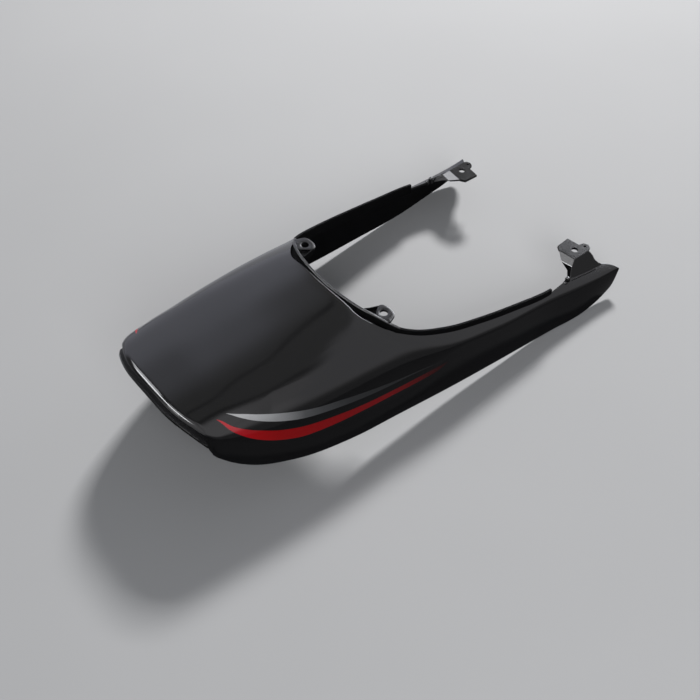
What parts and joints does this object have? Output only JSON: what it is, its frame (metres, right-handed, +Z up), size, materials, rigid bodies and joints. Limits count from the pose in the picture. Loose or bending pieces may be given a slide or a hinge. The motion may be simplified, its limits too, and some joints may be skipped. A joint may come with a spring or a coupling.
{
  "type": "motorcycle tail fairing",
  "caption": "Gloss black one-piece motorcycle tail fairing with two forward arms beside the seat gap, a raised lip, rear tabs and front bolt brackets.",
  "frame": {"origin": "centre of the bounding box at the plane the arms' front ends rest on", "axes": "+Y towards the front of the motorcycle along the two arms, +Z up, +X to the motorcycle's right"},
  "size_m": [0.275, 0.5558, 0.1237],
  "materials": {
    "black_gloss_paint": "gloss black paint under clear coat, with a red and a silver sweep on each side"
  },
  "bodies": {
    "root": {"tail_fairing": "black_gloss_paint"}
  },
  "joints": []
}
